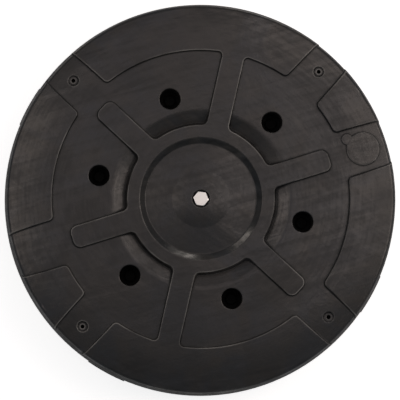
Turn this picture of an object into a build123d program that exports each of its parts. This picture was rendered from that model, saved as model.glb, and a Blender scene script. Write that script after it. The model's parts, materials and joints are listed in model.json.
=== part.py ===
from build123d import *
from math import cos, radians, sin, sqrt
import os

# Flat surface cleaner head for a pressure washer, 20 inch class.
# Millimetres. +Z is up, the origin is on the ground at the middle of the head,
# and the deck's pattern of spokes is turned by BASE_ANGLE from +X.

# ---- driving dimensions -------------------------------------------------
DECK_RADIUS = 254.0          # widest radius of the deck
DECK_TOP = 118.0             # height of the raised pads over the ground
RAISE = 4.0                  # pads, spokes and hub stand this far over the floor
WALL = 5.0                   # wall of the moulded deck
RIM_BOTTOM = 36.0            # lower edge of the deck's side wall
BAND_TOP = 66.0              # the wide band at the foot of the side wall ends here
BAND_STEP = 3.8              # above it the wall stands in by this much,
BAND_SLOPE = 4.0             # over this height
PAD_PROUD = 0.4              # the rim pads stand this far out of the side wall
RIM_ROUND = 6.0              # rounding of the deck's upper outer edge
CROWN_START = 200.0          # the deck's top falls away from here
CROWN_DROP = 3.0             # by this much at its rounded edge
BASE_ANGLE = 17.2            # angle of the first spoke

HUB_RADIUS = 94.6            # raised hub disc
RECESS_RADIUS = 78.9         # top of the dished recess in the hub
RECESS_FLOOR_RADIUS = 71.4   # foot of the recess wall
RECESS_DEPTH = 6.3
RECESS_FOOT_ROUND = 1.6
RECESS_LIP_ROUND = 1.4
DOME_RADIUS = 37.4           # raised dome in the middle of the recess
CONE_RISE = 2.6              # the recess floor rises by this much to the dome's foot
DOME_RISE = 3.05             # and the dome by this much more
DOME_BULGE = 2.05            # the dome's rise at DOME_MIDDLE of its radius
DOME_MIDDLE = 0.64
DIP_OUTER = 114.6            # the floor dips towards the hub from here
DIP_INNER = 96.8
DIP_DEPTH = 5.8
DIP_ROUND = 16.0             # rounding where the dip starts

SPOKE_WIDTH = 27.8
SPOKE_END = 172.5            # tip of the four short spokes
PAD_INNER = 191.8            # inner radius of the rim pads
WIDE_CHANNEL = 61.4          # gap between pads at the first spoke and opposite
SCREW_CHANNEL = 53.4         # gap between pads at the four rim screws
CORNER = 6.0                 # rounded corners of the pads, in plan
TIP_CORNER = 9.0             # rounded corners of the short spokes' tips
HUB_CORNER = 8.0             # hollow corners between spokes and hub
DRAFT = 18.0                 # lean of the raised parts' sides, in degrees
EDGE_ROUND = 1.3             # rounding along the raised edges

WELL_CIRCLE = 134.3          # radius of the circle of six bolt wells
WELL_RADIUS = 13.3
WELL_FLOOR = 72.0
WELL_BOSS = 4.0              # wall round each well
WELL_LIP = 0.7               # chamfer of a well's upper edge
RIB_CIRCLES = (WELL_CIRCLE, 200.0)
SCREW_CIRCLE = 223.6         # radius of the circle of four rim screws
SCREW_RECESS = 7.2
SCREW_RECESS_DEPTH = 2.4
SCREW_SIGHT = 2.65           # hole in the middle of a recess
SCREW_BOSS = 8.5
MARK_RAISE = 1.3             # the blank mark stands this far over the floor
INLET_HOLE = 11.3            # hole for the inlet plug, radius
RIB_THICK = 4.0              # stiffening ribs under the floor
RIB_DROP = 10.0

PLATE_TOP = 66.0             # the swivel's carrier plate
PLATE_THICK = 4.0
PLATE_BORE = 28.3
FLANGE_THICK = 6.0
HOUSING_RADIUS = 28.0        # the swivel's housing, through the plate
WELL_BOLT = 8.0              # M8 in clearance holes
WELL_BOLT_HOLE = 8.6
M8_FLATS = 13.0
M8_HEAD = 5.3
M8_NUT = 6.5
WASHER_THICK = 1.6
FLANGE_SCREW = 6.0           # M6 screws of the swivel's flange
FLANGE_SCREW_CIRCLE = 42.0
FLANGE_SCREW_ANGLES = [45 + 90 * k for k in range(4)]
BEARING_BORE = 17.0          # 6003 bearing: 17 x 35 x 10
BEARING_OUTER = 35.0
BEARING_WIDTH = 10.0
BALLS = 10
BALL_RADIUS = 2.35
RACE_GAP = 0.05              # ball to groove, all round
BORE_TOP = 83.0              # upper end of the bearing bore
CLEARANCE_TOP = 86.0         # then a relief, the seal's seat
SEAL_TOP = 91.0
SEAL_RADIUS = 11.0
CHAMBER_BOTTOM = 92.0        # and the water chamber under the plug
CHAMBER_TOP = 94.0

ARM_HEIGHT = 35.0            # axis of the spray arms over the ground
ARM_RADIUS = 6.85            # 1/4 inch pipe
ARM_BORE = 4.6
NOZZLE_CIRCLE = 212.0        # radius that the nozzles run on
NOZZLE_TILT = 15.0           # the jets lean back and drive the rotor

RING_TOP = 54.0              # skirt carrier ring
RING_BOTTOM = 30.0
RING_FLANGE = 4.0
RIM_SCREW = 6.0              # M6 screws from below the ring
RIM_SCREW_TIP = 74.0
RIM_SCREW_HOLE = 6.4
RIM_SCREW_FLATS = 10.0
RIM_SCREW_HEAD = 4.0
BRISTLE_INNER = 240.0
BRISTLE_OUTER = 246.0
BRISTLE_TOP = 44.0

FLOOR = DECK_TOP - RAISE
UNDERSIDE = FLOOR - WALL
HUB_UNDERSIDE = UNDERSIDE - DIP_DEPTH
PLATE_BOTTOM = PLATE_TOP - PLATE_THICK
FLANGE_BOTTOM = PLATE_BOTTOM - FLANGE_THICK

CROWN_RUN = DECK_RADIUS - RIM_ROUND - CROWN_START
SCREW_LEVEL = FLOOR - CROWN_DROP * ((SCREW_CIRCLE - CROWN_START) / CROWN_RUN) ** 2

WELL_ANGLES = [BASE_ANGLE + 30 + 60 * k for k in range(6)]
SCREW_ANGLES = [BASE_ANGLE + 30 + 90 * k for k in range(4)]
SHORT_SPOKES = [BASE_ANGLE + a for a in (0, 120, 180, 300)]
FULL_SPOKES = [BASE_ANGLE + a for a in (60, 240)]


# ---- small helpers ------------------------------------------------------
def polar(radius, angle, z=0.0):
    """A point at a radius and an angle in degrees."""
    return (radius * cos(radians(angle)), radius * sin(radians(angle)), z)


def disc(radius, z0, z1, centre=(0, 0)):
    """An upright cylinder between two heights."""
    return Pos(centre[0], centre[1], z0) * Cylinder(
        radius, z1 - z0, align=(Align.CENTER, Align.CENTER, Align.MIN)
    )


def ring(outer, inner, z0, z1, centre=(0, 0)):
    """An upright tube between two heights."""
    return disc(outer, z0, z1, centre) - disc(inner, z0 - 1, z1 + 1, centre)


def hexagon(flats, z0, z1, centre=(0, 0), turn=0.0):
    """A hexagonal prism, given across its flats."""
    face = Rot(0, 0, turn) * RegularPolygon(flats / 2, 6, major_radius=False)
    return Pos(centre[0], centre[1], z0) * extrude(face, z1 - z0)


def spun(points):
    """A solid of revolution about Z from (radius, height) points."""
    outline = Polyline(*[(r, 0, z) for r, z in points], close=True)
    return revolve(make_face(outline), Axis.Z)


def bolt_head(flats, z0, z1, centre=(0, 0), turn=0.0, flat=0.47, drop=0.14):
    """A hexagon whose upper corners are turned off, beyond a share of its width across flats."""
    reach = flats / sqrt(3) + 1.0
    turned = spun([
        (0, z0),
        (reach, z0),
        (reach, z1 - drop * flats),
        (flat * flats, z1),
        (0, z1),
    ])
    return hexagon(flats, z0, z1, centre, turn) & Pos(centre[0], centre[1], 0) * turned


def round_corner(outline, corner, radius):
    """Rounds the corner of a flat outline that is nearest to a point."""
    nearest = outline.vertices().sort_by_distance(Vector(*corner))[0]
    return fillet(nearest, radius)


def group(solids):
    """Several separate solids in one node."""
    return Compound(children=list(solids))


# ---- deck ---------------------------------------------------------------
def crowned_edge(edge, level):
    """Top outline from the crown's start over the rounded edge to the side wall.

    Returns the two curves and the point where the side wall starts.
    """
    run = edge - RIM_ROUND - CROWN_START
    crown_end = (edge - RIM_ROUND, 0, level - CROWN_DROP)
    crown_mid = (CROWN_START + run / 2, 0, level - CROWN_DROP / 4)
    crown = ThreePointArc((CROWN_START, 0, level), crown_mid, crown_end)
    wall_start = (edge, 0, level - CROWN_DROP - RIM_ROUND)
    bend = RIM_ROUND * sin(radians(45))
    round_mid = (edge - RIM_ROUND + bend, 0, level - CROWN_DROP - RIM_ROUND + bend)
    return crown, ThreePointArc(crown_end, round_mid, wall_start), wall_start


def deck_skin():
    """The plain deck: floor, dip round the hub, rounded edge and side wall."""
    edge = DECK_RADIUS - BAND_STEP
    crown, rounding, end = crowned_edge(edge, FLOOR)
    dip = FLOOR - DIP_DEPTH
    top = Polyline((0, 0, dip), (DIP_INNER, 0, dip), (DIP_OUTER, 0, FLOOR), (CROWN_START, 0, FLOOR))
    wall = Polyline(
        end,
        (edge, 0, BAND_TOP + BAND_SLOPE),
        (DECK_RADIUS, 0, BAND_TOP),
        (DECK_RADIUS, 0, RIM_BOTTOM),
        (DECK_RADIUS - WALL, 0, RIM_BOTTOM),
        (DECK_RADIUS - WALL, 0, BAND_TOP - 2 * BAND_SLOPE),
        (edge - WALL, 0, BAND_TOP - BAND_SLOPE),
        (edge - WALL, 0, UNDERSIDE - CROWN_DROP - RIM_ROUND + 2),
        (edge - WALL - 4, 0, UNDERSIDE - CROWN_DROP),
        (CROWN_START, 0, UNDERSIDE),
        (DIP_OUTER + 2, 0, UNDERSIDE),
        (DIP_INNER + 2, 0, HUB_UNDERSIDE),
        (0, 0, HUB_UNDERSIDE),
        (0, 0, dip),
    )
    outline = make_face([top, crown, rounding, wall])
    outline = round_corner(outline, (DIP_OUTER, 0, FLOOR), DIP_ROUND)
    return revolve(outline, Axis.Z)


def raised_outline():
    """Plan of the raised parts: hub disc, spokes and six rim pads."""
    reach = DECK_RADIUS + 20
    pads = Circle(reach) - Circle(PAD_INNER)
    for angle in (BASE_ANGLE, BASE_ANGLE + 180):
        strip = Pos(*polar(PAD_INNER + 30, angle)) * Rot(0, 0, angle)
        pads -= strip * Rectangle(140, WIDE_CHANNEL)
    for angle in SCREW_ANGLES:
        strip = Pos(*polar(PAD_INNER + 30, angle)) * Rot(0, 0, angle)
        pads -= strip * Rectangle(140, SCREW_CHANNEL)
    inner_corners = [v for v in pads.vertices() if v.center().length < PAD_INNER + 1]
    pads = fillet(inner_corners, CORNER)
    plan = pads + Circle(HUB_RADIUS)
    for angle in SHORT_SPOKES:
        spoke = Pos(*polar(SPOKE_END / 2, angle)) * Rot(0, 0, angle)
        plan += spoke * RectangleRounded(SPOKE_END, SPOKE_WIDTH, TIP_CORNER)
    for angle in FULL_SPOKES:
        length = PAD_INNER + 20
        spoke = Pos(*polar(length / 2, angle)) * Rot(0, 0, angle)
        plan += spoke * Rectangle(length, SPOKE_WIDTH)
    corners = [v for v in plan.vertices() if is_corner(v)]
    at_hub = [v for v in corners if abs(v.center().length - HUB_RADIUS) < 0.5]
    plan = fillet(at_hub, HUB_CORNER)
    corners = [v for v in plan.vertices() if is_corner(v)]
    return fillet([v for v in corners if abs(v.center().length - PAD_INNER) < 0.5], CORNER)


def is_corner(vertex):
    """True where a spoke's side meets the hub or a rim pad."""
    x, y, _ = vertex.center()
    for angle in SHORT_SPOKES + FULL_SPOKES:
        side = -x * sin(radians(angle)) + y * cos(radians(angle))
        along = x * cos(radians(angle)) + y * sin(radians(angle))
        if along > 0 and abs(abs(side) - SPOKE_WIDTH / 2) < 0.01:
            return True
    return False


def raised_parts():
    """Pads, spokes and hub with rounded upper edges, trimmed to the rim."""
    base = HUB_UNDERSIDE + 0.5
    prism = Pos(0, 0, DECK_TOP) * extrude(raised_outline(), base - DECK_TOP, taper=-DRAFT)
    upper = prism.faces().sort_by(Axis.Z)[-1]
    edges = []
    for edge in upper.edges():
        middle = edge @ 0.5
        if sqrt(middle.X**2 + middle.Y**2) < DECK_RADIUS + 15:
            edges.append(edge)
    prism = fillet(edges, EDGE_ROUND)
    edge_radius = DECK_RADIUS - BAND_STEP + PAD_PROUD
    foot = BAND_TOP + BAND_SLOPE + 2
    crown, rounding, end = crowned_edge(edge_radius, DECK_TOP)
    top = Polyline((0, 0, DECK_TOP), (CROWN_START, 0, DECK_TOP))
    body = Polyline(
        end,
        (edge_radius, 0, foot),
        (edge_radius - WALL + 1, 0, foot),
        (edge_radius - WALL, 0, UNDERSIDE - CROWN_DROP - RIM_ROUND + 4),
        (edge_radius - WALL - 4, 0, UNDERSIDE - CROWN_DROP + 1),
        (CROWN_START, 0, UNDERSIDE + 1),
        (DIP_OUTER + 2, 0, UNDERSIDE + 1),
        (DIP_INNER + 2, 0, base),
        (0, 0, base),
        (0, 0, DECK_TOP),
    )
    envelope = revolve(make_face([top, crown, rounding, body]), Axis.Z)
    return prism & envelope


def recess_cutter():
    """What the dished recess and its middle dome leave out of the hub."""
    floor = DECK_TOP - RECESS_DEPTH
    above = DECK_TOP + 10
    lip = (RECESS_RADIUS, 0, DECK_TOP)
    wall_foot = (RECESS_FLOOR_RADIUS, 0, floor)
    dome_foot = (DOME_RADIUS, 0, floor + CONE_RISE)
    dome_middle = (DOME_MIDDLE * DOME_RADIUS, 0, floor + CONE_RISE + DOME_BULGE)
    dome_top = (INLET_HOLE - 1, 0, floor + CONE_RISE + DOME_RISE)
    far = RECESS_RADIUS + 8
    around = Polyline(
        dome_foot,
        wall_foot,
        lip,
        (far, 0, DECK_TOP),
        (far, 0, above),
        (0, 0, above),
        (0, 0, dome_top[2]),
        dome_top,
    )
    outline = make_face([around, ThreePointArc(dome_top, dome_middle, dome_foot)])
    outline = round_corner(outline, wall_foot, RECESS_FOOT_ROUND)
    outline = round_corner(outline, lip, RECESS_LIP_ROUND)
    return revolve(outline, Axis.Z)


def blank_mark():
    """A plain raised disc and a small one beside it, in the wide channel."""
    big = Pos(*polar(218.6, BASE_ANGLE)) * Circle(21.4)
    small = Pos(*polar(203.0, BASE_ANGLE + 5.0)) * Circle(7.1)
    plan = big + small
    return extrude(plan, DECK_TOP) & Pos(0, 0, MARK_RAISE) * deck_skin()


def ribs():
    """Round and radial ribs that stiffen the deck from below."""
    bottom = UNDERSIDE - RIB_DROP
    web = ring(RIB_CIRCLES[0] + RIB_THICK / 2, RIB_CIRCLES[0] - RIB_THICK / 2, bottom, UNDERSIDE + 1)
    web += ring(RIB_CIRCLES[1] + RIB_THICK / 2, RIB_CIRCLES[1] - RIB_THICK / 2, bottom, UNDERSIDE + 1)
    for k in range(12):
        angle = BASE_ANGLE + 30 * k
        inner = 60.0 if k % 2 == 0 else WELL_CIRCLE
        outer = DECK_RADIUS - WALL - 2
        middle = Pos(*polar((inner + outer) / 2, angle, (bottom + UNDERSIDE + 1) / 2))
        web += middle * Rot(0, 0, angle) * Box(outer - inner, RIB_THICK, RIB_DROP + 1)
    return web


def deck_shell():
    """The one-piece moulded deck."""
    deck = deck_skin() + raised_parts() + blank_mark() + ribs()
    for angle in WELL_ANGLES:
        deck += disc(WELL_RADIUS + WELL_BOSS, PLATE_TOP, UNDERSIDE + 2, polar(WELL_CIRCLE, angle))
    for angle in SCREW_ANGLES:
        deck += disc(SCREW_BOSS, RING_TOP, UNDERSIDE + 2, polar(SCREW_CIRCLE, angle))
    deck -= recess_cutter()
    deck -= disc(INLET_HOLE, 0, DECK_TOP + 1)
    for angle in WELL_ANGLES:
        place = polar(WELL_CIRCLE, angle)
        deck -= disc(WELL_RADIUS, WELL_FLOOR, DECK_TOP + 1, place)
        deck -= disc(WELL_BOLT_HOLE / 2, PLATE_TOP - 1, WELL_FLOOR + 1, place)
        deck -= Pos(*place) * well_lip()
    for angle in SCREW_ANGLES:
        place = polar(SCREW_CIRCLE, angle)
        deck -= Pos(*place) * screw_dish()
        deck -= disc(RIM_SCREW / 2 + 0.05, 0, RIM_SCREW_TIP + 1, place)
        deck -= disc(SCREW_SIGHT, RIM_SCREW_TIP, FLOOR, place)
    return deck


def well_lip():
    """Cutter for the chamfer round a well."""
    foot = FLOOR - WELL_LIP
    top = FLOOR + 0.1
    return spun([(0, foot), (WELL_RADIUS, foot), (WELL_RADIUS + WELL_LIP, top), (0, top)])


def screw_dish():
    """Cutter for the shallow recess over a rim screw."""
    foot = SCREW_LEVEL - SCREW_RECESS_DEPTH
    return spun([
        (0, foot),
        (SCREW_RECESS - 1.6, foot),
        (SCREW_RECESS, SCREW_LEVEL - 0.2),
        (SCREW_RECESS + 0.4, SCREW_LEVEL + 2),
        (0, SCREW_LEVEL + 2),
    ])


# ---- fixed inner parts --------------------------------------------------
def carrier_plate():
    """Round steel plate that the swivel hangs from."""
    plate = ring(WELL_CIRCLE + 18, PLATE_BORE, PLATE_BOTTOM, PLATE_TOP)
    holes = [(WELL_BOLT_HOLE / 2, WELL_CIRCLE, angle) for angle in WELL_ANGLES]
    holes += [(24.0, 92.0, BASE_ANGLE + 60 * k) for k in range(6)]
    holes += [(FLANGE_SCREW / 2, FLANGE_SCREW_CIRCLE, angle) for angle in FLANGE_SCREW_ANGLES]
    for radius, circle, angle in holes:
        plate -= disc(radius, PLATE_BOTTOM - 1, PLATE_TOP + 1, polar(circle, angle))
    return plate


def well_bolts():
    """Six M8 bolts, heads at the bottom of the wells."""
    bolts = []
    for angle in WELL_ANGLES:
        place = polar(WELL_CIRCLE, angle)
        seat = WELL_FLOOR + WASHER_THICK
        head = bolt_head(M8_FLATS, seat, seat + M8_HEAD, place, angle)
        bolts.append(head + disc(WELL_BOLT / 2, PLATE_BOTTOM - 9, seat + 1, place))
    return group(bolts)


def well_washers():
    """A washer under each bolt head."""
    return group(
        ring(8.0, WELL_BOLT / 2 + 0.2, WELL_FLOOR, WELL_FLOOR + WASHER_THICK, polar(WELL_CIRCLE, a))
        for a in WELL_ANGLES
    )


def well_nuts():
    """Nuts under the carrier plate."""
    nuts = []
    for angle in WELL_ANGLES:
        place = polar(WELL_CIRCLE, angle)
        bottom = PLATE_BOTTOM - M8_NUT
        nut = hexagon(M8_FLATS, bottom, PLATE_BOTTOM, place, angle)
        nuts.append(nut - disc(WELL_BOLT / 2, bottom - 1, PLATE_BOTTOM + 1, place))
    return group(nuts)


CLIP_BOTTOM = FLANGE_BOTTOM + 1.4
CLIP_TOP = FLANGE_BOTTOM + 3.0
SPIGOT_TOP = UNDERSIDE
SEAL_WASHER = 1.5
PLUG_THREAD = 8.33           # G3/8
PLUG_FLATS = 17.0
PLUG_TURN = -8.0


def swivel_body():
    """Swivel housing: flange, bearing bore, seal seat and threaded inlet."""
    body = disc(50, FLANGE_BOTTOM, PLATE_BOTTOM)
    body += disc(HOUSING_RADIUS, PLATE_BOTTOM, HUB_UNDERSIDE)
    body += disc(INLET_HOLE - 0.2, HUB_UNDERSIDE, SPIGOT_TOP)
    body -= disc(BEARING_OUTER / 2, FLANGE_BOTTOM - 1, BORE_TOP)
    body -= ring(BEARING_OUTER / 2 + 1.2, BEARING_OUTER / 2 - 1, CLIP_BOTTOM, CLIP_TOP)
    body -= disc(BEARING_OUTER / 2 - 2.5, BORE_TOP, CLEARANCE_TOP)
    body -= disc(SEAL_RADIUS, CLEARANCE_TOP, CHAMBER_BOTTOM)
    body -= disc(4.5, SEAL_TOP, CHAMBER_TOP)
    body -= disc(PLUG_THREAD, CHAMBER_TOP, SPIGOT_TOP + 1)
    for angle in FLANGE_SCREW_ANGLES:
        place = polar(FLANGE_SCREW_CIRCLE, angle)
        body -= disc(FLANGE_SCREW / 2, FLANGE_BOTTOM - 1, PLATE_BOTTOM + 1, place)
    return body


def swivel_screws():
    """Four M6 socket screws that hold the swivel's flange to the plate."""
    screws = []
    for angle in FLANGE_SCREW_ANGLES:
        place = polar(FLANGE_SCREW_CIRCLE, angle)
        screw = disc(5.0, FLANGE_BOTTOM - 6, FLANGE_BOTTOM, place)
        screw += disc(FLANGE_SCREW / 2, FLANGE_BOTTOM - 1, PLATE_TOP + 2, place)
        screw -= hexagon(5.0, FLANGE_BOTTOM - 7, FLANGE_BOTTOM - 3, place)
        screws.append(screw)
    return group(screws)


def inlet_plug():
    """Hexagonal plug that closes the swivel's water inlet."""
    seat = SPIGOT_TOP + SEAL_WASHER
    plug = disc(PLUG_THREAD, CHAMBER_TOP + 1, seat + 1)
    return plug + bolt_head(PLUG_FLATS, seat, DECK_TOP, turn=PLUG_TURN, flat=0.52, drop=0.04)


def plug_seal():
    """Sealing washer between the plug and the inlet."""
    return ring(INLET_HOLE - 0.3, PLUG_THREAD, SPIGOT_TOP, SPIGOT_TOP + SEAL_WASHER)


def shaft_seal():
    """High-pressure seal that the rotor shaft turns in."""
    return ring(SEAL_RADIUS, 5.06, CLEARANCE_TOP, SEAL_TOP)


def housing_circlip():
    """Spring ring that keeps the bearings in the housing."""
    clip = ring(BEARING_OUTER / 2 + 1.2, BEARING_OUTER / 2 - 2.0, CLIP_BOTTOM, CLIP_TOP)
    gap = Pos(0, BEARING_OUTER / 2, FLANGE_BOTTOM + 2) * Box(8, 8, 6)
    return clip - gap


# ---- bearings -----------------------------------------------------------
LOWER_BEARING = CLIP_TOP
UPPER_BEARING = BORE_TOP - BEARING_WIDTH
BALL_CIRCLE = (BEARING_BORE + BEARING_OUTER) / 4


def ball_groove(z0):
    """Torus that both races are grooved by."""
    return Pos(0, 0, z0 + BEARING_WIDTH / 2) * Torus(BALL_CIRCLE, BALL_RADIUS + RACE_GAP)


def outer_race(z0):
    """Outer ring of a bearing."""
    return ring(BEARING_OUTER / 2, BALL_CIRCLE + 1.5, z0, z0 + BEARING_WIDTH) - ball_groove(z0)


def inner_race(z0):
    """Inner ring of a bearing."""
    return ring(BALL_CIRCLE - 1.5, BEARING_BORE / 2, z0, z0 + BEARING_WIDTH) - ball_groove(z0)


def bearing_balls(z0):
    """The balls of a bearing."""
    middle = z0 + BEARING_WIDTH / 2
    return group(
        Pos(*polar(BALL_CIRCLE, 360 * k / BALLS, middle)) * Sphere(BALL_RADIUS) for k in range(BALLS)
    )


def ball_cage(z0):
    """Snap cage: a thin crown that the balls sit in."""
    middle = z0 + BEARING_WIDTH / 2
    cage = ring(BALL_CIRCLE + 1.0, BALL_CIRCLE - 1.0, middle - 1.0, middle + 3.2)
    for k in range(BALLS):
        cage -= Pos(*polar(BALL_CIRCLE, 360 * k / BALLS, middle)) * Sphere(BALL_RADIUS + RACE_GAP)
    return cage


def bearing_spacer():
    """Sleeve between the two outer races."""
    return ring(BEARING_OUTER / 2, BEARING_OUTER / 2 - 2.5, LOWER_BEARING + BEARING_WIDTH, UPPER_BEARING)


# ---- rotor --------------------------------------------------------------
SHOULDER_BOTTOM = 50.0
STUB_BOTTOM = 42.0
STUB_RADIUS = 7.0
WATERWAY = 3.0
BLOCK_BOTTOM = 26.0
SHAFT_GROOVE = BEARING_BORE / 2 - 0.8
SHAFT_CLIP_TOP = BORE_TOP + 1.2


def rotor_shaft():
    """Hollow shaft that carries the water to the manifold."""
    shaft = disc(5.0, BORE_TOP, SEAL_TOP - 0.5)
    shaft += disc(BEARING_BORE / 2, LOWER_BEARING, SHAFT_CLIP_TOP + 1.3)
    shaft -= ring(BEARING_BORE / 2 + 1, SHAFT_GROOVE, BORE_TOP, SHAFT_CLIP_TOP)
    shaft += disc(11.0, SHOULDER_BOTTOM, LOWER_BEARING)
    shaft += disc(STUB_RADIUS, STUB_BOTTOM, SHOULDER_BOTTOM)
    return shaft - disc(WATERWAY, STUB_BOTTOM - 1, CHAMBER_BOTTOM)


def shaft_circlip():
    """Spring ring that keeps the shaft in the upper bearing."""
    clip = ring(10.4, SHAFT_GROOVE, BORE_TOP, SHAFT_CLIP_TOP)
    return clip - Pos(0, 9.5, BORE_TOP + 1) * Box(7, 7, 6)


def rotor_spacer():
    """Sleeve on the shaft between the two inner races."""
    return ring(BEARING_BORE / 2 + 2.2, BEARING_BORE / 2, LOWER_BEARING + BEARING_WIDTH, UPPER_BEARING)


def water_slinger():
    """Rubber disc that throws spray off the shaft, below the bearing."""
    return spun([(11.0, 52.0), (24.0, 51.6), (30.0, 50.6), (30.0, 52.2), (24.0, 53.6), (11.0, 55.0)])


def manifold():
    """Block that the shaft and both spray arms screw into."""
    block = Pos(0, 0, (SHOULDER_BOTTOM + BLOCK_BOTTOM) / 2) * Box(58, 34, SHOULDER_BOTTOM - BLOCK_BOTTOM)
    block = chamfer(block.edges().filter_by(Axis.Z), 7.0)
    block = chamfer(block.faces().sort_by(Axis.Z)[0].edges(), 1.5)
    block -= disc(STUB_RADIUS, STUB_BOTTOM, SHOULDER_BOTTOM + 1)
    block -= disc(WATERWAY, ARM_HEIGHT, STUB_BOTTOM + 1)
    block -= Pos(0, 0, ARM_HEIGHT) * Rot(0, 90, 0) * Cylinder(ARM_BORE, 60)
    for side in (1, -1):
        block -= Pos(side * 22, 0, ARM_HEIGHT) * Rot(0, 90, 0) * Cylinder(ARM_RADIUS, 16)
    return block


def on_arm(shape, side):
    """Turns a piece of the first arm into its twin opposite."""
    return shape if side > 0 else Rot(0, 0, 180) * shape


def spray_arm(side):
    """Pipe from the manifold to the nozzle holder."""
    start = 15.0
    end = NOZZLE_CIRCLE - 12.0
    middle = Pos((start + end) / 2, 0, ARM_HEIGHT) * Rot(0, 90, 0)
    arm = middle * Cylinder(ARM_RADIUS, end - start) - middle * Cylinder(ARM_BORE, end - start + 2)
    return on_arm(arm, side)


def arm_locknuts():
    """A lock nut on each arm against the manifold."""
    nuts = []
    for side in (1, -1):
        face = RegularPolygon(11.0, 6, major_radius=False)
        nut = Pos(29, 0, ARM_HEIGHT) * Rot(0, 90, 0) * extrude(face, 8)
        nut -= Pos(33, 0, ARM_HEIGHT) * Rot(0, 90, 0) * Cylinder(ARM_RADIUS, 10)
        nuts.append(on_arm(nut, side))
    return group(nuts)


def nozzle_frame():
    """Axes of a nozzle: at the arm's end, leaning back about the arm."""
    return Pos(NOZZLE_CIRCLE, 0, ARM_HEIGHT) * Rot(NOZZLE_TILT, 0, 0)


def nozzle_holder(side):
    """Elbow at the end of an arm that points the nozzle at the ground."""
    sleeve = Pos(NOZZLE_CIRCLE - 12, 0, ARM_HEIGHT) * Rot(0, 90, 0) * Cylinder(9.5, 18)
    drop = nozzle_frame() * Pos(0, 0, -1.0) * Cylinder(9.5, 19)
    holder = sleeve + drop
    holder -= Pos(NOZZLE_CIRCLE - 17, 0, ARM_HEIGHT) * Rot(0, 90, 0) * Cylinder(ARM_RADIUS, 10)
    holder -= Pos(NOZZLE_CIRCLE - 8, 0, ARM_HEIGHT) * Rot(0, 90, 0) * Cylinder(ARM_BORE, 16)
    holder -= nozzle_frame() * Pos(0, 0, -6.0) * Cylinder(ARM_BORE, 12)
    return on_arm(holder, side)


def nozzle(side):
    """Fan jet nozzle with a hexagon and a slotted tip."""
    frame = nozzle_frame()
    tip = frame * Pos(0, 0, -16.5) * extrude(RegularPolygon(7.0, 6, major_radius=False), 6)
    tip += frame * Pos(0, 0, -7.0) * Cylinder(ARM_BORE, 8)
    tip += frame * Pos(0, 0, -18.0) * Cylinder(4.2, 3.2)
    tip -= frame * Pos(0, 0, -10.0) * Cylinder(1.6, 20)
    tip -= frame * Pos(0, 0, -20.0) * Rot(0, 0, 90) * Box(12, 1.2, 2.4)
    return on_arm(tip, side)


# ---- skirt --------------------------------------------------------------
def skirt_ring():
    """Carrier ring under the deck: flat flange and bristle channel."""
    inner = SCREW_CIRCLE - 10
    outer = DECK_RADIUS - WALL - 0.5
    flange = spun([
        (inner, RING_TOP),
        (outer, RING_TOP),
        (outer, RING_BOTTOM),
        (BRISTLE_OUTER, RING_BOTTOM),
        (BRISTLE_OUTER, BRISTLE_TOP),
        (BRISTLE_INNER, BRISTLE_TOP),
        (BRISTLE_INNER, RING_BOTTOM),
        (BRISTLE_INNER - 3, RING_BOTTOM),
        (BRISTLE_INNER - 3, RING_TOP - RING_FLANGE),
        (inner, RING_TOP - RING_FLANGE),
    ])
    for angle in SCREW_ANGLES:
        flange -= disc(RIM_SCREW_HOLE / 2, RING_BOTTOM, RING_TOP + 1, polar(SCREW_CIRCLE, angle))
    return flange


def bristle_ring():
    """The brush skirt as one plain ring."""
    return ring(BRISTLE_OUTER, BRISTLE_INNER, 0, BRISTLE_TOP)


RIM_WASHER = 1.2
RIM_WASHER_RADIUS = 6.5
RIM_WASHER_TOP = RING_TOP - RING_FLANGE
RIM_WASHER_BOTTOM = RIM_WASHER_TOP - RIM_WASHER


def rim_screws():
    """Four M6 screws from below the skirt ring into the deck's bosses."""
    screws = []
    for angle in SCREW_ANGLES:
        place = polar(SCREW_CIRCLE, angle)
        foot = RIM_WASHER_BOTTOM - RIM_SCREW_HEAD
        head = hexagon(RIM_SCREW_FLATS, foot, RIM_WASHER_BOTTOM, place, angle)
        screws.append(head + disc(RIM_SCREW / 2, RIM_WASHER_BOTTOM - 1, RIM_SCREW_TIP, place))
    return group(screws)


def rim_washers():
    """Washers under the skirt ring."""
    washers = []
    for angle in SCREW_ANGLES:
        place = polar(SCREW_CIRCLE, angle)
        washers.append(ring(RIM_WASHER_RADIUS, RIM_SCREW_HOLE / 2, RIM_WASHER_BOTTOM, RIM_WASHER_TOP, place))
    return group(washers)


CLIP_WIDTH = 12.0            # degrees
CLIP_PROUD = 1.1
CLIP_OFFSET = 14.0           # past each rim screw
CLIP_HEIGHT = 26.0
CLIP_LIP = 1.4               # the lip that hooks under the side wall
CLIP_GAP = 3.2               # and stops this far short of the brush


def skirt_clips():
    """Four spring strips that grip the lower edge of the side wall."""
    outer = DECK_RADIUS + CLIP_PROUD
    band = ring(outer, DECK_RADIUS, RIM_BOTTOM, RIM_BOTTOM + CLIP_HEIGHT)
    band += ring(outer, BRISTLE_OUTER + CLIP_GAP, RIM_BOTTOM - CLIP_LIP, RIM_BOTTOM)
    clips = []
    for angle in SCREW_ANGLES:
        middle = Pos(*polar(DECK_RADIUS, angle + CLIP_OFFSET, 45)) * Rot(0, 0, angle + CLIP_OFFSET)
        width = 2 * DECK_RADIUS * sin(radians(CLIP_WIDTH / 2))
        clips.append(band & (middle * Box(30, width, 80)))
    return group(clips)


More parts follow.
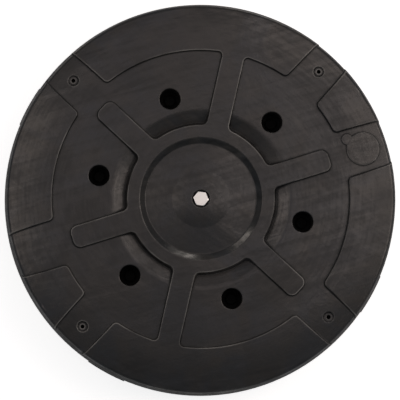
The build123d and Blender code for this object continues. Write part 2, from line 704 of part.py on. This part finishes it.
# ---- write the parts ----------------------------------------------------
NODES = {
    "deck_shell": deck_shell,
    "carrier_plate": carrier_plate,
    "well_bolts": well_bolts,
    "well_washers": well_washers,
    "well_nuts": well_nuts,
    "swivel_body": swivel_body,
    "swivel_screws": swivel_screws,
    "inlet_plug": inlet_plug,
    "plug_seal": plug_seal,
    "shaft_seal": shaft_seal,
    "housing_circlip": housing_circlip,
    "bearing_spacer": bearing_spacer,
    "upper_outer_race": lambda: outer_race(UPPER_BEARING),
    "lower_outer_race": lambda: outer_race(LOWER_BEARING),
    "upper_balls": lambda: bearing_balls(UPPER_BEARING),
    "lower_balls": lambda: bearing_balls(LOWER_BEARING),
    "upper_cage": lambda: ball_cage(UPPER_BEARING),
    "lower_cage": lambda: ball_cage(LOWER_BEARING),
    "upper_inner_race": lambda: inner_race(UPPER_BEARING),
    "lower_inner_race": lambda: inner_race(LOWER_BEARING),
    "rotor_spacer": rotor_spacer,
    "rotor_shaft": rotor_shaft,
    "shaft_circlip": shaft_circlip,
    "water_slinger": water_slinger,
    "manifold": manifold,
    "spray_arm_a": lambda: spray_arm(1),
    "spray_arm_b": lambda: spray_arm(-1),
    "arm_locknuts": arm_locknuts,
    "nozzle_holder_a": lambda: nozzle_holder(1),
    "nozzle_holder_b": lambda: nozzle_holder(-1),
    "nozzle_a": lambda: nozzle(1),
    "nozzle_b": lambda: nozzle(-1),
    "skirt_ring": skirt_ring,
    "bristle_ring": bristle_ring,
    "rim_screws": rim_screws,
    "rim_washers": rim_washers,
    "skirt_clips": skirt_clips,
}

os.makedirs("parts", exist_ok=True)
for name, build in NODES.items():
    export_step(build(), os.path.join("parts", name + ".step"))
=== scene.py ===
import json
import math

import bpy
import numpy as np
from mathutils import Matrix, Vector


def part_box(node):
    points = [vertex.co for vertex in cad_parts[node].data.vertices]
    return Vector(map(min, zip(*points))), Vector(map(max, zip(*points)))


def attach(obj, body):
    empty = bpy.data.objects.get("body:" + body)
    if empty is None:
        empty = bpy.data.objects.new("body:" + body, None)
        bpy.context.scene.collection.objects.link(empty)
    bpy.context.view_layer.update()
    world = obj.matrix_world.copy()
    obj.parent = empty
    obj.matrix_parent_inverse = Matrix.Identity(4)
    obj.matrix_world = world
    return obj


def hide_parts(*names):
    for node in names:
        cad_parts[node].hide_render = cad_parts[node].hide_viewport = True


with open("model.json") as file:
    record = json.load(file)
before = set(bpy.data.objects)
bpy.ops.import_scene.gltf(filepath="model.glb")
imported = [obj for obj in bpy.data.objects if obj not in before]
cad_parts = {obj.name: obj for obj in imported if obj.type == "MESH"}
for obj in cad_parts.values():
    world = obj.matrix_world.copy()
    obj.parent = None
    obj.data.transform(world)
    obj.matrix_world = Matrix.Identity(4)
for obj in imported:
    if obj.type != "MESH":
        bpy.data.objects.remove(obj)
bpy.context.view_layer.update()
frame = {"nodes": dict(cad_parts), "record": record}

MM = 0.001

# ---- places read from the frame ------------------------------------------
DECK_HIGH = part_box("deck_shell")[1]
DECK_TOP = DECK_HIGH[2]
SKIRT_LOW, SKIRT_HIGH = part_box("bristle_ring")
SKIRT_OUTER = (SKIRT_HIGH[0] - SKIRT_LOW[0]) / 2
MARK_ANGLE = math.radians(17.2)          # the blank mark on the deck's rim
MARK_CIRCLE = 218.6 * MM
MARK_CENTRE = (MARK_CIRCLE * math.cos(MARK_ANGLE), MARK_CIRCLE * math.sin(MARK_ANGLE))
MARK_RADIUS = 20.6 * MM


# ---- material building ---------------------------------------------------
class Finish:
    """A procedural material in the making, with the few nodes that all of them share."""

    def __init__(self, name, colour, roughness, metallic=0.0, specular=0.5):
        self.material = bpy.data.materials.new(name)
        self.material.use_nodes = True
        self.tree = self.material.node_tree
        self.shader = self.tree.nodes["Principled BSDF"]
        self.shader.inputs["Base Color"].default_value = (*colour, 1.0)
        self.shader.inputs["Roughness"].default_value = roughness
        self.shader.inputs["Metallic"].default_value = metallic
        self.shader.inputs["Specular IOR Level"].default_value = specular
        self.place = self.tree.nodes.new("ShaderNodeTexCoord").outputs["Object"]
        self.normal = None

    def link(self, source, target):
        self.tree.links.new(source, target)

    def stretched(self, scale, turn=(0.0, 0.0, 0.0), shift=(0.0, 0.0, 0.0)):
        """Object coordinates, turned and then scaled along each axis."""
        turned = self.tree.nodes.new("ShaderNodeMapping")
        turned.inputs["Rotation"].default_value = [math.radians(a) for a in turn]
        turned.inputs["Location"].default_value = shift
        self.link(self.place, turned.inputs["Vector"])
        scaled = self.tree.nodes.new("ShaderNodeMapping")
        scaled.inputs["Scale"].default_value = scale
        self.link(turned.outputs["Vector"], scaled.inputs["Vector"])
        return scaled.outputs["Vector"]

    def noise(self, scale, detail=4.0, rough=0.55, distortion=0.0, at=None):
        node = self.tree.nodes.new("ShaderNodeTexNoise")
        node.inputs["Scale"].default_value = scale
        node.inputs["Detail"].default_value = detail
        node.inputs["Roughness"].default_value = rough
        node.inputs["Distortion"].default_value = distortion
        self.link(self.place if at is None else at, node.inputs["Vector"])
        return node.outputs["Fac"]

    def between(self, value, low, high, to_low=0.0, to_high=1.0):
        """Maps a value's range to another one, clamped."""
        node = self.tree.nodes.new("ShaderNodeMapRange")
        node.inputs["From Min"].default_value = low
        node.inputs["From Max"].default_value = high
        node.inputs["To Min"].default_value = to_low
        node.inputs["To Max"].default_value = to_high
        self.link(value, node.inputs["Value"])
        return node.outputs["Result"]

    def math(self, kind, a, b):
        node = self.tree.nodes.new("ShaderNodeMath")
        node.operation = kind
        for socket, value in zip(node.inputs, (a, b)):
            if isinstance(value, (int, float)):
                socket.default_value = value
            else:
                self.link(value, socket)
        return node.outputs["Value"]

    def mix(self, amount, dark, light):
        """Mixes two colours, each a colour or a socket."""
        node = self.tree.nodes.new("ShaderNodeMix")
        node.data_type = "RGBA"
        self.link(amount, node.inputs["Factor"])
        for socket, value in zip((node.inputs[6], node.inputs[7]), (dark, light)):
            if isinstance(value, tuple):
                socket.default_value = (*value, 1.0)
            else:
                self.link(value, socket)
        return node.outputs[2]

    def colour(self, socket):
        self.link(socket, self.shader.inputs["Base Color"])

    def roughness(self, socket):
        self.link(socket, self.shader.inputs["Roughness"])

    def bump(self, height, distance, strength=1.0):
        """Adds a bump on top of those already made."""
        node = self.tree.nodes.new("ShaderNodeBump")
        node.inputs["Strength"].default_value = strength
        node.inputs["Distance"].default_value = distance
        self.link(height, node.inputs["Height"])
        if self.normal is not None:
            self.link(self.normal, node.inputs["Normal"])
        self.normal = node.outputs["Normal"]
        self.link(self.normal, self.shader.inputs["Normal"])

    def soften(self, radius):
        """Starts the normal with the edges and corners rounded off."""
        bevel = self.tree.nodes.new("ShaderNodeBevel")
        bevel.samples = 8
        bevel.inputs["Radius"].default_value = radius
        self.normal = bevel.outputs["Normal"]

    def vector_math(self, kind, source):
        node = self.tree.nodes.new("ShaderNodeVectorMath")
        node.operation = kind
        self.link(source, node.inputs[0])
        return node

    def flat_place(self):
        """Object coordinates with the height left out."""
        flat = self.vector_math("MULTIPLY", self.place)
        flat.inputs[1].default_value = (1.0, 1.0, 0.0)
        return flat.outputs["Vector"]

    def around(self, radial, turning):
        """Coordinates that run outwards and round the head's axis, with no seam."""
        flat = self.flat_place()
        length = self.vector_math("LENGTH", flat)
        unit = self.vector_math("NORMALIZE", flat)
        wide = self.vector_math("SCALE", unit.outputs["Vector"])
        wide.inputs["Scale"].default_value = turning
        out = self.tree.nodes.new("ShaderNodeCombineXYZ")
        self.link(self.math("MULTIPLY", length.outputs["Value"], radial), out.inputs["Z"])
        both = self.vector_math("ADD", wide.outputs["Vector"])
        self.link(out.outputs["Vector"], both.inputs[1])
        return both.outputs["Vector"]

    def near_axis(self, centre, radius):
        """1 within a radius of an upright axis, 0 outside it."""
        gap = self.vector_math("DISTANCE", self.flat_place())
        gap.inputs[1].default_value = (*centre, 0.0)
        return self.between(gap.outputs["Value"], radius, radius - 1 * MM)

    def heights(self):
        """Height over the ground and distance from the head's axis."""
        parts = self.tree.nodes.new("ShaderNodeSeparateXYZ")
        self.link(self.place, parts.inputs["Vector"])
        return parts.outputs["Z"], self.vector_math("LENGTH", self.flat_place()).outputs["Value"]

    def shelter(self, reach, inside, low, high):
        """Rises from 0 on open faces to 1 in corners, or along outer edges if looked at from inside."""
        depth = self.tree.nodes.new("ShaderNodeAmbientOcclusion")
        depth.inside = inside
        depth.only_local = True
        depth.samples = 8
        depth.inputs["Distance"].default_value = reach
        return self.between(depth.outputs["AO"], low, high)

    def upright(self):
        """1 on upright walls, 0 on anything that looks up or down."""
        geometry = self.tree.nodes.new("ShaderNodeNewGeometry")
        parts = self.tree.nodes.new("ShaderNodeSeparateXYZ")
        self.link(geometry.outputs["Normal"], parts.inputs["Vector"])
        return self.between(self.math("ABSOLUTE", parts.outputs["Z"], 0.0), 0.75, 0.35)

    def edges(self, radius):
        """1 along the outer and inner edges, 0 on open faces."""
        bevel = self.tree.nodes.new("ShaderNodeBevel")
        bevel.samples = 4
        bevel.inputs["Radius"].default_value = radius
        geometry = self.tree.nodes.new("ShaderNodeNewGeometry")
        dot = self.vector_math("DOT_PRODUCT", bevel.outputs["Normal"])
        self.link(geometry.outputs["Normal"], dot.inputs[1])
        return self.between(dot.outputs["Value"], 1.0, 0.80)


DULL = ((0.0030, 0.0032, 0.0040), (0.0046, 0.0038, 0.0034))       # cool and warm
GLOSSY = ((0.0280, 0.0280, 0.0304), (0.0340, 0.0300, 0.0266))
DUST = (0.05, 0.048, 0.045)
# pale edge colour: partly rubbed wear, partly a painted edge highlight
RUBBED_AND_HIGHLIT = (0.200, 0.193, 0.182)
# painted shade for the corners and creases
CORNER_SHADE = (0.002, 0.002, 0.002)
# painted shade for the wells' insides, near black
WELL_SHADE = (0.003, 0.003, 0.003)
# painted glints on the blank mark's grain
MARK_GLINT = (0.10, 0.097, 0.090)
WELL_ZONE = 160 * MM                     # the wells lie nearer to the axis than this
SIDE_ZONE = 240 * MM                     # the side wall lies farther out


def deck_plastic():
    """Black moulded plastic: flow marks, wiping streaks, arcs, grain, pale edges (partly rubbed wear,
    partly a painted highlight), painted shade in the corners and wells, painted glints on the blank
    mark.
    """
    f = Finish("deck_plastic", (0.013, 0.013, 0.013), 0.28)
    f.soften(1.6 * MM)
    height, radius = f.heights()

    # how glossy each spot is: clouds, two ways of wiping, arcs round the axis
    haze = f.noise(8.0, 5.0, 0.55, 1.6)
    wipe = f.noise(1.0, 8.0, 0.70, 0.5, f.stretched((8.0, 120.0, 30.0), (0, 0, -16)))
    cross = f.noise(1.0, 6.0, 0.60, 0.3, f.stretched((10.0, 190.0, 30.0), (0, 0, 40)))
    arcs = f.noise(1.0, 5.0, 0.6, 0.0, f.around(300.0, 6.0))
    flow = f.math("MULTIPLY", f.between(haze, 0.34, 0.66), 0.32)
    flow = f.math("ADD", flow, f.math("MULTIPLY", f.between(wipe, 0.36, 0.64), 0.34))
    flow = f.math("ADD", flow, f.math("MULTIPLY", f.between(cross, 0.40, 0.66), 0.12))
    flow = f.math("ADD", flow, f.math("MULTIPLY", f.between(arcs, 0.38, 0.64), 0.22))
    warmth = f.between(f.noise(14.0, 4.0, 0.6, 1.0), 0.4, 0.6)
    tone = f.mix(f.between(flow, 0.22, 0.78), f.mix(warmth, *DULL), f.mix(warmth, *GLOSSY))
    dust = f.between(f.noise(420.0, 3.0, 0.6), 0.64, 0.80)
    tone = f.mix(f.math("MULTIPLY", dust, 0.22), tone, DUST)

    # convex edges painted pale, partly rubbed wear and partly a painted edge highlight, but not the
    # wells' lips
    low = f.between(height, DECK_TOP - 2 * MM, DECK_TOP - 3 * MM)
    well_lip = f.math("MULTIPLY", low, f.between(radius, WELL_ZONE + 5 * MM, WELL_ZONE))
    patchy = f.between(f.noise(13.0, 3.0, 0.6), 0.40, 0.60, 0.12, 1.0)
    worn = f.math("MULTIPLY", f.shelter(1.8 * MM, True, 0.97, 0.75), patchy)
    worn = f.math("MULTIPLY", worn, f.between(well_lip, 0.0, 1.0, 0.9, 0.0))
    tone = f.mix(worn, tone, RUBBED_AND_HIGHLIT)

    # painted shade: corners darkened through an occlusion mask, and the wells' insides painted near
    # black
    corner_shade = f.shelter(3.0 * MM, False, 0.97, 0.66)
    tone = f.mix(f.math("MULTIPLY", corner_shade, 0.9), tone, CORNER_SHADE)
    deep = f.between(height, DECK_TOP - 12 * MM, DECK_TOP - 18 * MM)
    well_shade_mask = f.math("MULTIPLY", deep, f.between(radius, WELL_ZONE, WELL_ZONE - 5 * MM))

    # the blank mark's grainy face, with painted glints on its grains
    sparks = f.noise(330.0, 3.0, 0.7)
    grainy = f.near_axis(MARK_CENTRE, MARK_RADIUS)
    glints = f.math("MULTIPLY", grainy, f.between(sparks, 0.48, 0.66, 0.0, 0.42))
    tone = f.mix(glints, tone, MARK_GLINT)
    # the wells' insides painted near black: painted shade
    f.colour(f.mix(well_shade_mask, tone, WELL_SHADE))

    rough = f.between(flow, 0.28, 0.72, 0.38, 0.16)
    rough = f.math("ADD", rough, f.math("MULTIPLY", well_shade_mask, 0.65))
    rough = f.math("ADD", rough, f.math("MULTIPLY", corner_shade, 0.35))
    outside = f.between(radius, SIDE_ZONE - 2 * MM, SIDE_ZONE + 2 * MM)
    scuffed = f.math("MULTIPLY", f.upright(), outside)
    f.roughness(f.math("ADD", rough, f.math("MULTIPLY", scuffed, 0.60)))

    f.bump(haze, 1.4 * MM, 0.50)
    f.bump(wipe, 0.16 * MM, 0.6)
    f.bump(arcs, 0.04 * MM, 0.4)
    f.bump(f.noise(1300.0, 2.0, 0.5), 0.015 * MM, 0.5)
    f.bump(f.math("MULTIPLY", grainy, sparks), 0.35 * MM, 0.7)
    return f.material


def metal(name, colour, roughness, brushed=(40.0, 40.0, 900.0), stain=(0.3, 0.28, 0.25), wear=0.25):
    """Plated or bare metal with tool marks along one direction and a little staining."""
    f = Finish(name, colour, roughness, 1.0)
    marks = f.noise(1.0, 3.0, 0.6, 0.0, f.stretched(brushed))
    cloud = f.noise(55.0, 5.0, 0.6, 0.6)
    dull = f.math("MULTIPLY", f.between(cloud, 0.45, 0.8), wear)
    tone = f.mix(dull, colour, tuple(c * s for c, s in zip(colour, stain)))
    # pale edges: partly wear, partly a painted highlight along the bevels
    pale = tuple(min(1.0, c * 1.18) for c in colour)
    tone = f.mix(f.math("MULTIPLY", f.edges(0.6 * MM), 0.6), tone, pale)
    f.colour(tone)
    rough = f.between(marks, 0.3, 0.7, roughness - 0.07, roughness + 0.09)
    f.roughness(f.math("ADD", rough, f.math("MULTIPLY", dull, 0.4)))
    f.bump(marks, 0.03 * MM, 0.5)
    f.bump(f.noise(900.0, 2.0), 0.01 * MM, 0.5)
    return f.material


def coated(name, colour, roughness, chip, specular=0.5):
    """Powder coat or black oxide: orange peel and edges rubbed to the metal."""
    f = Finish(name, colour, roughness, 0.0, specular)
    peel = f.noise(520.0, 2.0, 0.5)
    cloud = f.noise(30.0, 5.0, 0.6, 0.8)
    darker = tuple(c * 0.75 for c in colour)
    paler = tuple(c * 1.3 for c in colour)
    tone = f.mix(f.between(cloud, 0.35, 0.7), darker, paler)
    rubbed = f.math("MULTIPLY", f.edges(0.7 * MM), f.between(f.noise(140.0, 4.0), 0.42, 0.62))
    f.colour(f.mix(f.math("MULTIPLY", rubbed, 0.8), tone, chip))
    f.roughness(f.between(cloud, 0.3, 0.75, roughness + 0.08, roughness - 0.06))
    f.bump(peel, 0.05 * MM, 0.5)
    return f.material


def moulded(name, colour, roughness, grain=0.04):
    """Rubber or nylon with a matt grain and dusty patches."""
    f = Finish(name, colour, roughness, 0.0, 0.4)
    cloud = f.noise(45.0, 5.0, 0.6, 0.4)
    dusty = tuple(min(1.0, c * 1.7 + 0.01) for c in colour)
    f.colour(f.mix(f.between(cloud, 0.4, 0.75), colour, dusty))
    f.roughness(f.between(cloud, 0.3, 0.7, roughness - 0.06, roughness + 0.08))
    f.bump(f.noise(1100.0, 2.0), grain * MM, 0.6)
    return f.material


def bristle_nylon():
    """Black filaments, greyer and rougher towards their worn tips."""
    f = Finish("bristle_nylon", (0.02, 0.02, 0.021), 0.45, 0.0, 0.45)
    height = f.tree.nodes.new("ShaderNodeSeparateXYZ")
    f.link(f.place, height.inputs["Vector"])
    tip = f.between(height.outputs["Z"], 12 * MM, 0.0)
    fleck = f.noise(900.0, 2.0, 0.6)
    base = f.mix(f.between(fleck, 0.35, 0.7), (0.012, 0.012, 0.013), (0.03, 0.03, 0.031))
    f.colour(f.mix(f.math("MULTIPLY", tip, 0.55), base, (0.12, 0.11, 0.10)))
    f.roughness(f.between(tip, 0.0, 1.0, 0.42, 0.65))
    f.bump(fleck, 0.02 * MM, 0.5)
    return f.material


def floor_paper():
    """Pale, very slightly mottled paper, lit a little from behind."""
    f = Finish("floor_paper", (0.86, 0.86, 0.86), 0.9, 0.0, 0.1)
    f.colour(f.mix(f.noise(3.0, 4.0), (0.86, 0.86, 0.86), (0.88, 0.88, 0.88)))
    f.shader.inputs["Emission Color"].default_value = (1.0, 1.0, 1.0, 1.0)
    f.shader.inputs["Emission Strength"].default_value = 0.75
    return f.material


FINISHES = {
    "deck_plastic": deck_plastic(),
    "plate_steel": coated("plate_steel", (0.035, 0.035, 0.037), 0.42, (0.35, 0.34, 0.33)),
    "zinc_steel": metal("zinc_steel", (0.62, 0.61, 0.58), 0.33),
    "plug_steel": metal("plug_steel", (0.94, 0.93, 0.90), 0.30, wear=0.10),
    "black_steel": coated("black_steel", (0.015, 0.015, 0.016), 0.50, (0.28, 0.27, 0.26), 0.35),
    "housing_metal": metal("housing_metal", (0.60, 0.61, 0.62), 0.36, (30.0, 30.0, 1400.0)),
    "stainless": metal("stainless", (0.60, 0.60, 0.59), 0.28, (900.0, 900.0, 60.0)),
    "brass": metal("brass", (0.70, 0.51, 0.24), 0.30, (500.0, 60.0, 500.0), (0.55, 0.45, 0.35), 0.4),
    "bearing_steel": metal("bearing_steel", (0.72, 0.72, 0.73), 0.14, wear=0.1),
    "cage_nylon": moulded("cage_nylon", (0.50, 0.45, 0.32), 0.5),
    "rubber": moulded("rubber", (0.02, 0.02, 0.02), 0.7),
    "bristle": bristle_nylon(),
}


# near-black, rough finish for the bolts and washers down in the wells: painted shade
WELL_SHADE_STEEL = coated("well_shade_steel", (0.006, 0.006, 0.006), 0.75, (0.02, 0.02, 0.02), 0.12)


def dress_nodes():
    """Gives each CAD node the material of its record slot, and the bolts and washers in the wells a
    near-black finish that paints in their shade.
    """
    slots = {row["node"]: row["material_slot"] for row in frame["record"]["subparts"]}
    for name, node in frame["nodes"].items():
        in_well = name in ("well_bolts", "well_washers")
        node.data.materials.clear()
        node.data.materials.append(WELL_SHADE_STEEL if in_well else FINISHES[slots[name]])


# ---- brush skirt ---------------------------------------------------------
FILAMENTS_PER_ROW = 2100
FILAMENT_ROWS = 3
FILAMENT_RADIUS = 0.46 * MM
FILAMENT_SIDES = 4
FILAMENT_STEPS = (1.0, 0.72, 0.40, 0.12, 0.0)    # where each filament bends, as parts of its length
ROW_GAP = 1.25 * MM
ROW_INSET = 3.0 * MM         # middle row, from the skirt's outer face
ROW_SPREAD = 0.6 * MM        # the outer rows lean out and in by this much
CLUMPS = 170                 # tufts per turn, that lean to and fro
CLUMP_LEAN = 0.35 * MM


def brush_skirt():
    """Strip brush of separate filaments that lean and part a little at their tips."""
    rng = np.random.default_rng(12)
    points = []
    faces = []
    middle = SKIRT_OUTER - ROW_INSET
    for row in range(FILAMENT_ROWS):
        radius = middle + (row - (FILAMENT_ROWS - 1) / 2) * ROW_GAP
        for k in range(FILAMENTS_PER_ROW):
            angle = 2 * math.pi * (k + 0.33 * row + rng.uniform(-0.3, 0.3)) / FILAMENTS_PER_ROW
            clump = math.sin(angle * CLUMPS + row) * CLUMP_LEAN
            lean = rng.normal(0.0, 0.5 * MM) + clump
            out = rng.normal(0.0, 0.5 * MM) + (row - 1) * ROW_SPREAD
            low = SKIRT_LOW[2] + abs(rng.normal(0.0, 0.5 * MM)) * (k % 3 > 0)
            start = len(points)
            for step in FILAMENT_STEPS:
                bend = (1.0 - step) ** 2
                r = min(radius + out * bend, SKIRT_OUTER - FILAMENT_RADIUS)
                a = angle + lean * bend / radius
                z = low + (SKIRT_HIGH[2] - low) * step
                for side in range(FILAMENT_SIDES):
                    turn = 2 * math.pi * side / FILAMENT_SIDES + angle
                    points.append((
                        r * math.cos(a) + FILAMENT_RADIUS * math.cos(turn),
                        r * math.sin(a) + FILAMENT_RADIUS * math.sin(turn),
                        z,
                    ))
            for level in range(len(FILAMENT_STEPS) - 1):
                for side in range(FILAMENT_SIDES):
                    nxt = (side + 1) % FILAMENT_SIDES
                    a0 = start + level * FILAMENT_SIDES
                    a1 = a0 + FILAMENT_SIDES
                    faces.append((a0 + nxt, a0 + side, a1 + side, a1 + nxt))
            last = start + (len(FILAMENT_STEPS) - 1) * FILAMENT_SIDES
            faces.append(tuple(start + s for s in range(FILAMENT_SIDES)))
            faces.append(tuple(last + s for s in reversed(range(FILAMENT_SIDES))))
    mesh = bpy.data.meshes.new("brush_skirt")
    mesh.from_pydata(points, [], faces)
    mesh.materials.append(FINISHES["bristle"])
    skirt = bpy.data.objects.new("brush_skirt", mesh)
    bpy.context.scene.collection.objects.link(skirt)
    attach(skirt, "deck")
    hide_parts("bristle_ring")


# ---- floor, lights and camera --------------------------------------------
def floor():
    reach = 6.0
    corners = [(-reach, -reach, 0), (reach, -reach, 0), (reach, reach, 0), (-reach, reach, 0)]
    mesh = bpy.data.meshes.new("floor")
    mesh.from_pydata(corners, [], [(0, 1, 2, 3)])
    mesh.materials.append(floor_paper())
    plane = bpy.data.objects.new("floor", mesh)
    plane.location.z = -0.2 * MM
    bpy.context.scene.collection.objects.link(plane)


def facing(away, top):
    """Turns a light or camera so that its back points away and its upper side towards the top."""
    right = top.cross(away).normalized()
    return Matrix((right, away.cross(right), away)).transposed().to_quaternion()


# name: place in metres, width and height, brightness per area, colour
SOFTBOXES = {
    "overhead": ((-0.075, 0.33, 1.45), (0.52, 0.97), 0.45, (1.0, 0.85, 0.85)),
    "overhead_right": ((0.43, 0.33, 1.45), (0.52, 0.97), 1.30, (1.0, 0.85, 0.78)),
    "overhead_left": ((-0.60, 0.15, 1.45), (0.56, 0.61), 1.16, (1.0, 0.85, 0.75)),
    "right": ((1.15, 0.15, 1.25), (0.9, 0.9), 2.35, (1.0, 0.86, 0.78)),
    "left": ((-1.05, 0.05, 1.45), (0.8, 0.8), 0.72, (1.0, 0.83, 0.78)),
    "upper_right": ((0.55, 1.75, 0.45), (0.7, 0.35), 3.6, (1.0, 0.92, 0.85)),
    "upper_left": ((-1.25, 1.35, 0.45), (0.7, 0.35), 2.8, (1.0, 0.89, 0.80)),
}
AMBIENT = (0.86, 0.94, 1.0, 1.0)
AMBIENT_STRENGTH = 0.20


def softbox(name, place, size, radiance, colour):
    """An area light at a place in metres, facing the deck, as bright per area as asked."""
    light = bpy.data.lights.new(name, "AREA")
    light.shape = "RECTANGLE"
    light.size = size[0]
    light.size_y = size[1]
    light.energy = radiance * math.pi * size[0] * size[1]
    light.color = colour
    lamp = bpy.data.objects.new(name, light)
    lamp.location = place
    away = (Vector(place) - Vector((0, 0, DECK_TOP))).normalized()
    top = Vector((0, 0, 1)) if abs(away.z) < 0.9 else Vector((0, 1, 0))
    lamp.rotation_mode = "QUATERNION"
    lamp.rotation_quaternion = facing(away, top)
    lamp.visible_camera = False
    bpy.context.scene.collection.objects.link(lamp)


def studio():
    """Dim cool surroundings, broad warm boxes overhead and at both sides, two low ones behind."""
    world = bpy.data.worlds.new("studio")
    world.use_nodes = True
    background = world.node_tree.nodes["Background"]
    background.inputs["Color"].default_value = AMBIENT
    background.inputs["Strength"].default_value = AMBIENT_STRENGTH
    bpy.context.scene.world = world
    for name, (place, size, radiance, colour) in SOFTBOXES.items():
        softbox(name, place, size, radiance, colour)
    bpy.context.scene.view_settings.view_transform = "Standard"


CAMERA_DISTANCE = 4.0
FRAME_WIDTH = 0.5190         # seen across the frame at the deck's widest height
WIDEST_HEIGHT = 75 * MM
TILT_BACK = 2.4              # the camera stands a little towards -Y
TILT_LEFT = 1.2              # and towards -X
AIM = Vector((-0.0004, 0.0, WIDEST_HEIGHT))
SENSOR_WIDTH = 36.0


def camera():
    data = bpy.data.cameras.new("camera")
    data.sensor_width = SENSOR_WIDTH
    data.lens = SENSOR_WIDTH * CAMERA_DISTANCE / FRAME_WIDTH
    data.clip_end = 50.0
    cam = bpy.data.objects.new("camera", data)
    tilt = (-math.tan(math.radians(TILT_LEFT)), -math.tan(math.radians(TILT_BACK)), 1.0)
    away = Vector(tilt).normalized()
    cam.location = AIM + away * CAMERA_DISTANCE
    cam.rotation_mode = "QUATERNION"
    cam.rotation_quaternion = facing(away, Vector((0, 1, 0)))
    bpy.context.scene.collection.objects.link(cam)
    bpy.context.scene.camera = cam


dress_nodes()
brush_skirt()
floor()
studio()
camera()
